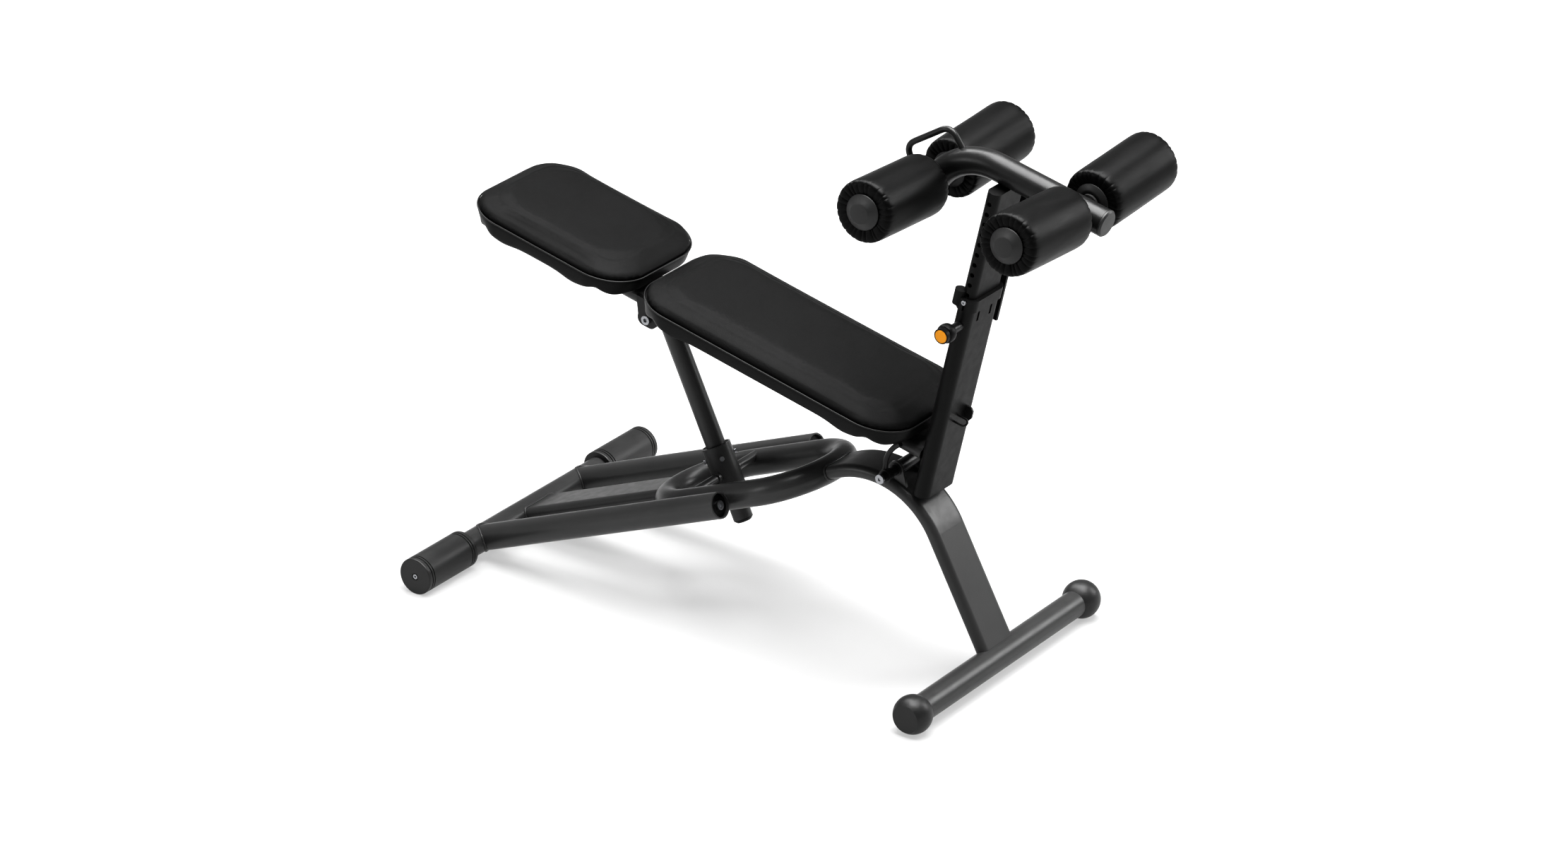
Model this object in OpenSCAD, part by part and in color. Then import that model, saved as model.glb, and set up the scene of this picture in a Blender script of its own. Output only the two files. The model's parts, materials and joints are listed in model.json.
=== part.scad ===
// Decline sit up bench with a tilting pad frame, a sliding strut and a telescopic leg roller post.
// Millimetres, +Z up. X runs from the rear rollers to the front foot, Y is the width.
// The origin is on the floor under the middle of the overall length.

/* [Stance] */
// Distance from the rear roller axle forward to the origin
origin_x = 621.9; // [560:0.1:660]
// Height of the foot bar axes, which is also the radius of the rear rollers
foot_r = 36; // [32:0.5:40]
// Rise of the base tubes from the rear axle
rise = 21.8; // [16:0.1:26]
// Slope of the front leg below the horizontal
leg_slope = 61.8; // [55:0.1:68]
// Decline of the pads as drawn
decline = 13.2; // [10:0.1:15]

/* [Round tube] */
// Outside diameter of the round frame tube
tube_d = 50.8; // [44:0.2:54]
// Wall of the frame tubes
wall = 3; // [2:0.5:4]

/* [Flat oval tube] */
// Width of the flat oval tube
oval_w = 96; // [84:1:100]
// Thickness of the flat oval tube
oval_t = 26; // [22:1:30]

/* [Base] */
// Half the spacing of the side tubes
side_y = 155.5; // [150:0.5:165]
// Length of the side tubes from the rear axle
side_len = 601; // [560:1:640]
// Centre line radius of the ring's round ends
ring_r = 104.4; // [98:0.2:105]
// Distance from the rear axle to the ring's rear end
ring_start = 380; // [360:1:400]
// Distance from the rear axle to the ring's front end
ring_end = 756; // [740:1:780]
// Distance from the rear axle to the bend of the main tube
bend_start = 801; // [790:1:820]
// Centre line radius of the main tube's bend
bend_r = 165; // [150:1:190]
// Half the spacing of the ball feet on the front bar
ball_y = 280; // [260:1:300]
// Half the length over the rear rollers
roller_end = 360; // [340:1:380]
// Length of one rear roller
roller_len = 147; // [130:1:155]

/* [Pivots] */
// Height of the bench pivot
pivot_z = 369; // [366:0.5:376]
// Distance from the rear axle to the bench pivot
pivot_x = 864; // [858:0.5:870]
// Height of the sleeve pivot
sleeve_z = 238; // [234:0.5:244]
// Distance from the rear axle to the sleeve pivot
sleeve_x = 460; // [455:0.5:466]

/* [Strut] */
// Outside diameter of the strut tube
strut_d = 38; // [34:0.5:40]
// Outside diameter of the strut sleeve
sleeve_d = 56; // [52:0.5:60]
// Length of the strut from its top pin to its lower end
strut_len = 424; // [400:1:440]

/* [Pads] */
// Half the width of the pads
pad_y = 143; // [130:1:150]
// Length of the rear pad
rear_pad_l = 376; // [350:1:400]
// Length of the front pad
front_pad_l = 598; // [560:1:600]
// Thickness of the upholstery above the seam
pad_t = 27; // [22:1:34]
// Corner radius of the pads
pad_corner = 76; // [60:1:84]

/* [Column] */
// Width of the column's flat oval section
column_w = 103.6; // [100:0.2:108]
// Thickness of the column's section
column_t = 33.6; // [32:0.2:38]
// Pitch of the height holes in the post
hole_pitch = 21; // [18:0.5:25]
// Number of height holes
hole_count = 17; // [12:1:20]

/* [Leg rollers] */
// Diameter of the foam rollers
foam_d = 115; // [100:1:125]
// Length of one foam roller
foam_l = 195; // [170:1:200]
// Upward tilt of the roller axles
axle_tilt = 4.1; // [0:0.1:6]
// Diameter of the top beam
beam_d = 50.8; // [48:0.2:54]
// Centre line radius of the beam's bend
beam_bend_r = 125; // [120:1:150]

/* [Hidden] */
$fn = 64;
fit = 0.06; // running clearance on a radius
gap = 0.3; // gap between parts that move past each other
seam = 0.02; // hairline between two lengths of tube that are welded end to end
tube_r = tube_d / 2;
flat_y = (oval_w - oval_t) / 2;
bend = rise + leg_slope;
ring_mid = (ring_start + ring_end) / 2;
ring_straight = ring_end - ring_start - 2 * ring_r;

// the main tube's bend end and leg, in the plane of symmetry, from the rear axle
bend_x = bend_start * cos(rise) + bend_r * sin(rise);
bend_z = foot_r + bend_start * sin(rise) - bend_r * cos(rise);
leg_top_x = bend_x + bend_r * sin(leg_slope);
leg_top_z = bend_z + bend_r * cos(leg_slope);
leg_len = (leg_top_z - foot_r) / sin(leg_slope);
foot_x = leg_top_x + leg_len * cos(leg_slope);

// places in the bench frame: u forward along the pads, v up from the pivot, square to the pads
frame_v = 61.5;
seam_v = 119;
shell_v = frame_v + oval_t / 2 + 1;
front_pad_u = 32;
pad_space = 15;
rear_pad_u = front_pad_u - front_pad_l - pad_space;
frame_rear_u = rear_pad_u - rear_pad_l + 60;
clevis_u = -566;
clevis_v = 37.2;
bolt_r = 4;
eye_r = 9.2;
ear_y = oval_w / 2 + 7.1;
ear_t = 9;
ear_top = frame_v + oval_t / 2 - clevis_v - 0.5;
column_u = 63.8;
column_low = -17;
column_top = 397;
post_low = 180;
post_top = 624;
beam_v = 650;
beam_end_u = 268;
knob_v = 350;
front_axle_u = 214.3;
rear_axle_turn = 68;
beam_turn = 84;
beam_bend_u = 42;
rear_axle_u = beam_bend_u - beam_bend_r * sin(rear_axle_turn);
rear_axle_v = beam_v - beam_bend_r * (1 - cos(rear_axle_turn));
post_t = 26.6;
foam_start = [38, 46]; // from the middle plane to the left and right rollers' inner ends
post_w = column_w - 2 * 2.5 - 2.6;

// the strut's lean follows from its two pivots
clevis_x = pivot_x + clevis_u * cos(decline) + clevis_v * sin(decline);
clevis_z = pivot_z - clevis_u * sin(decline) + clevis_v * cos(decline);
lean = atan2(sleeve_x - clevis_x, clevis_z - sleeve_z);
strut_reach = norm([sleeve_x - clevis_x, clevis_z - sleeve_z]);
strut_r = strut_d / 2;
sleeve_r = sleeve_d / 2;

charcoal = [0.24, 0.25, 0.26];
black_paint = [0.13, 0.13, 0.14];
leather = [0.08, 0.08, 0.085];
grey_plastic = [0.3, 0.3, 0.31];
black_plastic = [0.1, 0.1, 0.105];
steel = [0.75, 0.76, 0.78];
yellow = [0.95, 0.68, 0.1];

// ---- frames ----

module from_rear() translate([-origin_x, 0, 0]) children();

// along the sloping base tubes, starting at the rear axle
module on_rise() from_rear() translate([0, 0, foot_r]) rotate([0, -rise, 0]) children();

// along the pads, starting at the bench pivot
module on_bench() from_rear() translate([pivot_x, 0, pivot_z]) rotate([0, decline, 0]) children();

// along the strut, starting at the sleeve pivot
module on_strut() from_rear() translate([sleeve_x, 0, sleeve_z]) rotate([0, -lean, 0]) children();

module both_sides() {
    children();
    mirror([0, 1, 0]) children();
}

// ---- shared shapes ----

// rod along Y from a to b
module rod_y(a, b, r) translate([0, a, 0]) rotate([-90, 0, 0]) cylinder(h = b - a, r = r);

module rod_x(a, b, r) translate([a, 0, 0]) rotate([0, 90, 0]) cylinder(h = b - a, r = r);

module oval(w, t) {
    square([t, w - t], center = true);
    for (s = [-1, 1]) translate([0, s * (w - t) / 2]) circle(d = t);
}

module oval_wall(w, t, thick) {
    difference() {
        oval(w, t);
        oval(w - 2 * thick, t - 2 * thick);
    }
}

// turn a section so that it runs along X, with its width along Y
module run_x(a, b) translate([a, 0, 0]) rotate([0, 90, 0]) linear_extrude(b - a) children();

// bend in the XZ plane: centre at the origin, from angle a, through the sweep
module bend_xz(a, sweep, r) {
    rotate([90, 0, 0]) rotate([0, 0, a]) rotate_extrude(angle = sweep, $fn = 96)
        translate([r, 0]) children();
}

// rounded rectangle, long along X
module slab(l, w, r) {
    square([l - 2 * r, w], center = true);
    square([l, w - 2 * r], center = true);
    for (x = [-1, 1], y = [-1, 1]) translate([x * (l / 2 - r), y * (w / 2 - r)]) circle(r = r);
}

// ---- base ----

module front_foot_bar() color(charcoal) from_rear() translate([foot_x, 0, foot_r]) difference() {
    rod_y(-ball_y + 16, ball_y - 16, tube_r);
    rod_y(-ball_y, ball_y, tube_r - wall);
}

// ball cap with a flat outer face, a spigot inside the bar and a small flat where it stands
module ball_feet() color(grey_plastic) from_rear() translate([foot_x, 0, foot_r]) both_sides() {
    difference() {
        translate([0, ball_y, 0]) rotate([90, 0, 0]) rotate_extrude($fn = 96) intersection() {
            circle(r = foot_r + 0.6);
            translate([0, -25]) square([foot_r + 1, 52]);
        }
        translate([-foot_r, ball_y - foot_r, -foot_r - 2]) cube([2 * foot_r, 2 * foot_r, 2]);
        rod_y(ball_y - 60, ball_y - 16, tube_r);
        rod_y(ball_y - 60, ball_y - 12, tube_r - 9);
    }
}

// solid of the main tube from the ring over the bend to the foot bar, shrunk all round by in
module main_solid(in) {
    w = oval_w - 2 * in;
    t = oval_t - 2 * in;
    run_x(ring_end - 10, bend_start - seam) oval(w, t);
    translate([bend_start, 0, -bend_r]) {
        bend_xz(90 - bend, bend, bend_r) oval(w, t);
        rotate([0, bend, 0]) translate([0, 0, bend_r]) run_x(0, leg_len) oval(w, t);
    }
}

// solid of the ring's front or rear round end, r thick
module ring_end(side, r) {
    translate([ring_mid + side * ring_straight / 2, 0, 0]) rotate([0, 0, side > 0 ? -90 : 90])
        rotate_extrude(angle = 180, $fn = 96) translate([ring_r, 0]) circle(r = r);
}

module ring_solid(r) {
    ring_end(-1, r);
    ring_end(1, r);
    for (s = [-1, 1]) translate([0, s * ring_r, 0])
        rod_x(ring_mid - ring_straight / 2, ring_mid + ring_straight / 2, r);
}

// closed loop that the strut passes through, with a drain hole under its rear end
module ring_tube() color(charcoal) on_rise() difference() {
    ring_solid(tube_r);
    ring_solid(tube_r - wall);
    translate([ring_start, 0, -tube_r - 1]) cylinder(h = tube_r, r = 4);
}

// flat oval tube from the ring over the bend and down to the front foot bar
module main_tube() color(charcoal) difference() {
    on_rise() main_solid(0);
    on_rise() main_solid(wall);
    on_rise() ring_end(1, tube_r + 0.02);
    from_rear() translate([foot_x, 0, foot_r]) rod_y(-oval_w, oval_w, tube_r + 0.02);
}

module side_tube() difference() {
    on_rise() translate([0, side_y, 0]) difference() {
        rod_x(6, side_len, tube_r);
        rod_x(5, side_len + 1, tube_r - wall);
    }
    from_rear() translate([0, 0, foot_r]) rod_y(side_y - tube_d, side_y + tube_d, tube_r + 0.02);
}

module left_side_tube() color(charcoal) side_tube();

module right_side_tube() color(charcoal) mirror([0, 1, 0]) side_tube();

// discs set back inside the open front ends, and the bolts through them
module side_tube_plugs() color(black_plastic) on_rise() both_sides() translate([0, side_y, 0])
    difference() {
        rod_x(side_len - 18, side_len - 6, tube_r - wall);
        rod_x(side_len - 19, side_len - 5, 5);
    }

module side_tube_bolts() color(steel) on_rise() both_sides() translate([0, side_y, 0])
    difference() {
        union() {
            rod_x(side_len - 30, side_len - 6, 5);
            rod_x(side_len - 6, side_len + 1, 9);
        }
        translate([side_len - 2, 0, 0]) rotate([0, 90, 0]) cylinder(h = 4, r = 4, $fn = 6);
    }

module middle_tube() color(charcoal) difference() {
    on_rise() run_x(6, ring_start + 10) oval_wall(oval_w, oval_t, wall);
    on_rise() ring_end(-1, tube_r + 0.02);
    from_rear() translate([0, 0, foot_r]) rod_y(-oval_w, oval_w, tube_r + 0.02);
}

module rear_foot_bar() color(charcoal) from_rear() translate([0, 0, foot_r]) difference() {
    rod_y(-roller_end + 12, roller_end - 12, tube_r);
    rod_y(-roller_end, roller_end, tube_r - wall);
}

module rear_bar_plugs() color(black_plastic) from_rear() translate([0, 0, foot_r]) both_sides()
    difference() {
        rod_y(roller_end - 40, roller_end - 12, tube_r - wall);
        rod_y(roller_end - 41, roller_end - 11, 3);
    }

// roller outline from its inner end to its outer end, with two grooves near each end
module roller_outline(r, l) {
    groove = 1.2;
    difference() {
        polygon([[0, 0], [r - 1.5, 0], [r, 1.5], [r, l - 1.5], [r - 1.5, l], [0, l]]);
        for (x = [10, 16, l - 10, l - 16]) translate([r - groove, x - groove / 2])
            square([groove + 1, groove]);
    }
}

// hollow roller that turns on the rear foot bar and closes over its end
module rear_roller() from_rear() translate([0, roller_end - roller_len, foot_r]) difference() {
    rotate([-90, 0, 0]) rotate_extrude($fn = 96) roller_outline(foot_r, roller_len);
    rod_y(-1, roller_len - 11.5, tube_r + fit);
    rod_y(roller_len - 12, roller_len + 1, 3.4);
    rod_y(roller_len - 4, roller_len + 1, 6.4);
}

module left_rear_roller() color(grey_plastic) rear_roller();

module right_rear_roller() color(grey_plastic) mirror([0, 1, 0]) rear_roller();

module rear_roller_screws() color(steel) from_rear() translate([0, 0, foot_r]) both_sides()
    difference() {
        union() {
            rod_y(roller_end - 30, roller_end - 3.6, 3);
            rod_y(roller_end - 3.6, roller_end - 0.6, 5);
        }
        translate([0, roller_end - 2.6, 0]) rotate([-90, 0, 0]) cylinder(h = 3, r = 2.2, $fn = 6);
    }

// bars from the ring to the sleeve, each ending in a pin
module sleeve_trunnions() color(charcoal) both_sides() difference() {
    from_rear() translate([sleeve_x, 0, sleeve_z]) {
        rod_y(sleeve_r + 6.5, ring_r - 8, 8.5);
        rod_y(sleeve_r + 0.5, sleeve_r + 7, 5);
    }
    on_rise() translate([0, ring_r, 0]) rod_x(ring_start, ring_end, tube_r + 0.02);
}

module pivot_bearing() color(black_paint) from_rear() translate([pivot_x, 0, pivot_z])
    difference() {
        rod_y(-38, 38, 12.5);
        rod_y(-39, 39, 8 + fit);
    }

// two plates that stand on the main tube and hold the bearing
module pivot_brackets() color(charcoal) difference() {
    from_rear() translate([pivot_x, 0, pivot_z]) both_sides() translate([0, 36, 0])
        rotate([90, 0, 0]) linear_extrude(6) difference() {
            union() {
                circle(r = 16);
                polygon([[-16, 0], [16, 0], [30, -60], [-24, -60]]);
            }
            circle(r = 12.52);
        }
    on_rise() translate([bend_start, 0, -bend_r]) rod_y(-50, 50, bend_r + oval_t / 2 + 0.02);
}

// ---- strut and sleeve ----

screw_v = 32;

module strut_sleeve() color(charcoal) on_strut() difference() {
    union() {
        translate([0, 0, -54]) cylinder(h = 110, r = sleeve_r);
        rod_y(-sleeve_r - 6, sleeve_r + 6, 11);
    }
    translate([0, 0, -55]) cylinder(h = 112, r = sleeve_r - wall);
    for (s = [0, 1]) mirror([0, s, 0]) rod_y(sleeve_r - 4, sleeve_r + 7, 5 + fit);
    for (a = [45:90:315]) rotate([0, 0, a]) translate([0, 0, screw_v]) rod_x(20, 40, 2.5);
}

module sleeve_bush() color(black_plastic) on_strut() difference() {
    translate([0, 0, -53]) cylinder(h = 108, r = sleeve_r - wall - 0.02);
    translate([0, 0, -54]) cylinder(h = 110, r = strut_r + fit);
}

module sleeve_screws() color(steel) on_strut() for (a = [45:90:315]) rotate([0, 0, a])
    translate([0, 0, screw_v]) difference() {
        union() {
            rod_x(sleeve_r - wall, sleeve_r + 0.2, 2.48);
            rod_x(sleeve_r + 0.1, sleeve_r + 4.5, 4.5);
        }
        translate([sleeve_r + 3, 0, 0]) rotate([0, 90, 0]) cylinder(h = 3, r = 2, $fn = 6);
    }

module strut_tube() color(charcoal) on_strut() difference() {
    translate([0, 0, strut_reach - strut_len + 6]) cylinder(h = strut_len - 12, r = strut_r);
    translate([0, 0, strut_reach - strut_len]) cylinder(h = strut_len + 20, r = strut_r - wall);
    translate([0, 0, strut_reach]) rod_y(-40, 40, eye_r + 0.02);
}

// cross eye at the top of the strut: its bore leaves the pin room for the opened pivot
module strut_head() color(charcoal) on_strut() translate([0, 0, strut_reach]) difference() {
    rod_y(-44.5, 44.5, eye_r);
    rod_y(-45, 45, bolt_r + 4.12);
}

module strut_end_plug() color(black_plastic) on_strut() {
    translate([0, 0, strut_reach - strut_len]) {
        translate([0, 0, 6]) cylinder(h = 16, r = strut_r - wall);
        rotate_extrude() polygon([[0, 0], [strut_r - 5, 0], [strut_r, 5], [strut_r, 6], [0, 6]]);
    }
}

// ---- bench frame and pads ----

module bench_frame_tube() color(charcoal) on_bench() translate([0, 0, frame_v])
    run_x(frame_rear_u, column_u - column_t / 2) oval_wall(oval_w, oval_t, wall);

// plugs in the rear end of the frame tube and the lower end of the column
module oval_end_plugs() color(black_plastic) on_bench() {
    translate([0, 0, frame_v]) {
        run_x(frame_rear_u, frame_rear_u + 14) oval(oval_w - 2 * wall, oval_t - 2 * wall);
        run_x(frame_rear_u - 3, frame_rear_u) oval(oval_w, oval_t);
    }
    translate([column_u, 0, column_low - 3]) linear_extrude(3) oval(column_w, column_t);
    translate([column_u, 0, column_low]) linear_extrude(14) oval(column_w - 5, column_t - 5);
}

// ear plates on the sides of the frame tube, rounded below the bolt
module clevis_ears() color(black_paint) on_bench() both_sides() difference() {
    translate([clevis_u, ear_y, clevis_v]) rotate([90, 0, 0]) linear_extrude(ear_t) difference() {
        union() {
            translate([0, 3]) slab(44, 38, 15);
            polygon([[-22, 2], [22, 2], [16, ear_top], [-34, ear_top]]);
        }
        circle(r = bolt_r + 0.02);
    }
    translate([0, 0, frame_v]) run_x(clevis_u - 60, clevis_u + 60) oval(oval_w + 0.04, oval_t + 0.04);
}

// bolt with its nut, through both ears and the strut's eye
module clevis_bolt() color(steel) on_bench() translate([clevis_u, 0, clevis_v]) {
    difference() {
        union() {
            rod_y(-ear_y, ear_y + 9, bolt_r);
            rod_y(-ear_y - 7, -ear_y, 9);
        }
        translate([0, -ear_y - 8, 0]) rotate([-90, 0, 0]) cylinder(h = 5, r = 4.4, $fn = 6);
    }
    translate([0, ear_y + 0.1, 0]) rotate([-90, 0, 0]) difference() {
        cylinder(h = 7, r = 9, $fn = 6);
        translate([0, 0, -1]) cylinder(h = 9, r = bolt_r + 0.02);
    }
}

// curved arms that carry the frame tube on the pivot shaft
module pivot_arms() color(black_paint) on_bench() both_sides() difference() {
    union() {
        translate([58, 66, 27]) bend_xz(133, 63, 66) circle(r = 5);
        rod_y(60, 72, 13);
        translate([1.6, 0, frame_v]) rod_y(oval_w / 2 - 1, 67, 5);
    }
    rod_y(59, 73, 9.5);
    translate([0, 0, frame_v]) run_x(-40, 30) oval(oval_w, oval_t);
}

module pivot_shaft() color(black_paint) on_bench() difference() {
    union() {
        rod_y(-84, 84, 8);
        for (s = [0, 1]) mirror([0, s, 0]) rod_y(38.4, 84, 9.48);
    }
    for (s = [0, 1]) mirror([0, s, 0]) rod_y(60, 85, 4);
}

module pivot_shaft_bolts() color(steel) on_bench() both_sides() difference() {
    union() {
        rod_y(64, 84, 3.98);
        rod_y(84, 89, 9);
    }
    translate([0, 87, 0]) rotate([-90, 0, 0]) cylinder(h = 3, r = 3.5, $fn = 6);
}

// moulded pan under a pad, with an upright rim and a bottom that runs in to the frame tube,
// shrunk by in
module pan_solid(l, in, floor) {
    w = 2 * pad_y;
    h = seam_v - shell_v;
    rows = [[0, 62], [0.27, 12], [0.42, 4], [1, 0]];
    for (i = [0:2]) hull() for (k = [0, 1]) let (row = rows[i + k], side = row[1] + in)
        translate([0, 0, max(row[0] * h - k * 0.1, floor)]) linear_extrude(0.1)
            slab(l - 2 * side, w - 2 * side, pad_corner - side / 2, $fn = 32);
}

module pad_shell(l) difference() {
    pan_solid(l, 0, 0);
    pan_solid(l, 5, 5);
    translate([0, 0, seam_v - shell_v - 1]) linear_extrude(2)
        slab(l - 10, 2 * pad_y - 10, pad_corner - 2.5, $fn = 32);
}

// closed cushion: straight at the seam and rounded over at the top
module pad_block(l) {
    w = 2 * pad_y;
    hull() {
        translate([0, 0, 0.3]) linear_extrude(5) slab(l, w, pad_corner, $fn = 32);
        translate([0, 0, pad_t * 0.6]) linear_extrude(1) slab(l - 12, w - 12, pad_corner - 5, $fn = 32);
        translate([0, 0, pad_t - 1]) linear_extrude(1) slab(l - 50, w - 50, pad_corner - 18, $fn = 32);
    }
}

module at_rear_pad(v) on_bench() translate([rear_pad_u - rear_pad_l / 2, 0, v]) children();

module at_front_pad(v) on_bench() translate([front_pad_u - front_pad_l / 2, 0, v]) children();

module rear_pad_shell() color(black_plastic) at_rear_pad(shell_v) pad_shell(rear_pad_l);

module front_pad_shell() color(black_plastic) at_front_pad(shell_v) pad_shell(front_pad_l);

module rear_pad() color(leather) at_rear_pad(seam_v) pad_block(rear_pad_l);

module front_pad() color(leather) at_front_pad(seam_v) pad_block(front_pad_l);

// screws up through the frame tube's lower wall into the pad shells
module pad_screws() color(steel) on_bench() {
    middle = [rear_pad_u - rear_pad_l / 2, front_pad_u - front_pad_l / 2];
    reach = [rear_pad_l / 2 - 100, front_pad_l / 2 - 110];
    for (i = [0, 1], e = [-1, 1], s = [-1, 1])
        translate([middle[i] + e * reach[i], s * 22, frame_v - oval_t / 2 - 4])
            cylinder(h = 4, r = 6);
}

// ---- column ----

module column_tube() color(black_paint) on_bench() difference() {
    translate([column_u, 0, column_low]) linear_extrude(column_top - column_low)
        oval_wall(column_w, column_t, 2.5);
    translate([column_u, 0, knob_v]) rod_y(-column_w, 0, 5);
    for (s = [-1, 1]) translate([column_u + column_t / 2 - 4, s * 20 - 3, column_top - 40])
        cube([8, 6, 20]);
}

// collar clamped round the top of the column, with a raised lug and a slit at its near end
module column_collar() color(black_paint) on_bench() difference() {
    union() {
        translate([column_u, 0, column_top - 14]) linear_extrude(24)
            oval(column_w + 8, column_t + 8);
        translate([column_u - 15, -column_w / 2 + 6, column_top - 8]) cylinder(h = 30, r = 11);
    }
    translate([column_u, 0, column_top - 15]) linear_extrude(15.02)
        oval(column_w + 0.04, column_t + 0.04);
    translate([column_u, 0, column_top - 1]) linear_extrude(40)
        oval(post_w + 2 * gap, post_t + 2 * gap);
    translate([column_u + 0.4, -column_w, column_top - 15]) cube([4, column_w / 2 + 20, 12]);
    translate([column_u + 2, 0, column_top + 5]) rod_y(-column_w, -post_w / 2 + 1, 2.5);
}

module collar_screw() color(steel) on_bench() translate([column_u + 2, 0, column_top + 5])
    difference() {
        union() {
            rod_y(-column_w / 2 - 4.1, -post_w / 2 - 0.6, 2.48);
            rod_y(-column_w / 2 - 7, -column_w / 2 - 4.05, 4.5);
        }
        translate([0, -column_w / 2 - 8, 0]) rotate([-90, 0, 0]) cylinder(h = 2.5, r = 2, $fn = 6);
    }

// plastic liner inside the top of the column that the post slides through
module post_guide() color(black_plastic) on_bench() difference() {
    translate([column_u, 0, column_top - 90]) linear_extrude(89.9) difference() {
        oval(column_w - 5.04, column_t - 5.04);
        oval(post_w + 2 * gap, post_t + 2 * gap);
    }
    translate([column_u, 0, knob_v]) rod_y(-column_w, 0, 5);
}

// bent rod eye and a lug plate low on the column's front face
module band_hook() color(black_paint) on_bench() translate([column_u + column_t / 2, 0, 0]) {
    translate([0, -9, 144]) rotate([45, 0, 0]) {
        for (s = [-1, 1]) translate([0, s * 7, 0]) rod_x(0.02, 17, 1.9);
        translate([17, 0, 0]) rotate([0, 0, -90]) rotate_extrude(angle = 180)
            translate([7, 0]) circle(r = 1.9);
    }
    translate([0.02, 22, 132]) rotate([90, 0, 0]) linear_extrude(4)
        polygon([[0, 0], [11, 0], [16, 8], [16, 22], [11, 28], [0, 28]]);
}

module pop_pin_barrel() color(black_paint) on_bench() translate([column_u, 0, knob_v])
    difference() {
        union() {
            difference() {
                rod_y(-column_w / 2 - 22, -column_w / 2 + 4, 9);
                translate([0, 0, -20]) linear_extrude(40) oval(column_w + 0.04, column_t + 0.04);
            }
            rod_y(-column_w / 2 - 1, -column_w / 2 + 2.4, 4.95);
        }
        rod_y(-column_w, 0, 4 + fit);
        rod_y(-column_w / 2 - 20, -column_w / 2 - 4, 7);
    }

// plunger with a collar for its spring: its tip stands just clear of the post
module pop_pin() color(steel) on_bench() translate([column_u, 0, knob_v]) {
    rod_y(-column_w / 2 - 40, -post_w / 2 - 0.5, 4);
    rod_y(-column_w / 2 - 6.6, -column_w / 2 - 4.3, 6.4);
}

module pop_pin_spring() color(steel) on_bench()
    translate([column_u, -column_w / 2 - 20, knob_v]) rotate([-90, 0, 0]) for (i = [0:3])
        translate([0, 0, 1 + i * 3.8]) rotate_extrude($fn = 32) translate([5.3, 0])
            circle(r = 0.6, $fn = 16);

module pop_pin_knob() color(black_plastic) on_bench()
    translate([column_u, -column_w / 2 - 23, knob_v]) rotate([90, 0, 0]) difference() {
        rotate_extrude() polygon([
            [0, 0], [10, 0], [11.5, 2], [11.5, 5],
            for (a = [0:15:180]) [14.6 + 3.4 * sin(a), 15 - 9 * cos(a)],
            [14.6, 33], [13.6, 34], [0, 34]
        ]);
        translate([0, 0, 31]) cylinder(h = 4, r = 12.4);
        translate([0, 0, -1]) cylinder(h = 18.5, r = 4.02);
    }

module knob_insert() color(yellow) on_bench() translate([column_u, -column_w / 2 - 54, knob_v])
    rotate([90, 0, 0]) rotate_extrude() polygon([[0, 0], [12.3, 0], [12.3, 2.6], [11, 3.4], [0, 3.8]]);

// ---- post and beam ----

module inner_post() color(black_paint) on_bench() difference() {
    union() {
        translate([column_u, 0, post_low]) linear_extrude(post_top - post_low) difference() {
            oval_wall(post_w, post_t, 3);
            for (s = [0, 1]) mirror([0, s]) rotate(-52) translate([-1.5, -post_w / 2 - 4])
                square([3, 5]);
        }
        translate([column_u, 0, post_top - 4]) linear_extrude(4) oval(post_w - 3, post_t - 3);
    }
    translate([column_u, 0, beam_v]) rod_x(-100, 100, beam_d / 2 + 0.02);
    for (i = [0:hole_count - 1]) translate([column_u, 0, knob_v + (12 - i) * hole_pitch])
        rod_y(-post_w, 0, 4.4);
}

// strip fixed to the post's far side that runs down outside the column
module post_strip() color(black_paint) on_bench() {
    translate([column_u - 8, column_w / 2 + 4.6, 326]) cube([23, 6, 280]);
    translate([column_u - 8, post_w / 2 + 0.1, 596]) cube([23, column_w / 2 - post_w / 2 + 6, 10]);
}

module beam_solid(r) {
    translate([0, 0, beam_v]) rod_x(beam_bend_u, beam_end_u, r);
    translate([beam_bend_u, 0, beam_v - beam_bend_r]) bend_xz(90, beam_turn, beam_bend_r) circle(r = r);
}

// one half axle, tilted up from the middle
module half_axle(r, a, b) rotate([axle_tilt, 0, 0]) rod_y(a, b, r);

module at_axle(front) on_bench()
    translate(front ? [front_axle_u, 0, beam_v] : [rear_axle_u, 0, rear_axle_v]) children();

module top_beam() color(black_paint) difference() {
    on_bench() difference() {
        beam_solid(beam_d / 2);
        beam_solid(beam_d / 2 - wall);
        translate([beam_end_u - 0.5, 0, beam_v]) rod_x(0, 2, beam_d);
    }
    for (f = [false, true]) at_axle(f) both_sides() half_axle(12.02, 2, 40);
}

module beam_caps() color(grey_plastic) on_bench() {
    translate([beam_end_u, 0, beam_v]) beam_cap();
    translate([beam_bend_u, 0, beam_v - beam_bend_r]) rotate([0, -beam_turn, 0])
        translate([0, 0, beam_bend_r]) rotate([0, 180, 0]) beam_cap();
}

module beam_cap() {
    r = beam_d / 2;
    rotate([0, 90, 0]) {
        rotate_extrude() polygon([[0, 0], [r, 0], [r, 3], [r - 3, 6], [0, 6]]);
        translate([0, 0, -14]) cylinder(h = 14, r = r - wall);
    }
}

// four tilted stub axles with a shoulder where each foam roller's inner hub runs
module roller_axles() color(charcoal) for (f = [false, true]) at_axle(f) both_sides()
    difference() {
        union() {
            half_axle(12, beam_d / 2 - 8, 226);
            half_axle(17, beam_d / 2 + 2, foam_start[0] - 6);
        }
        half_axle(9, beam_d / 2 - 9, 227);
    }

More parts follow.
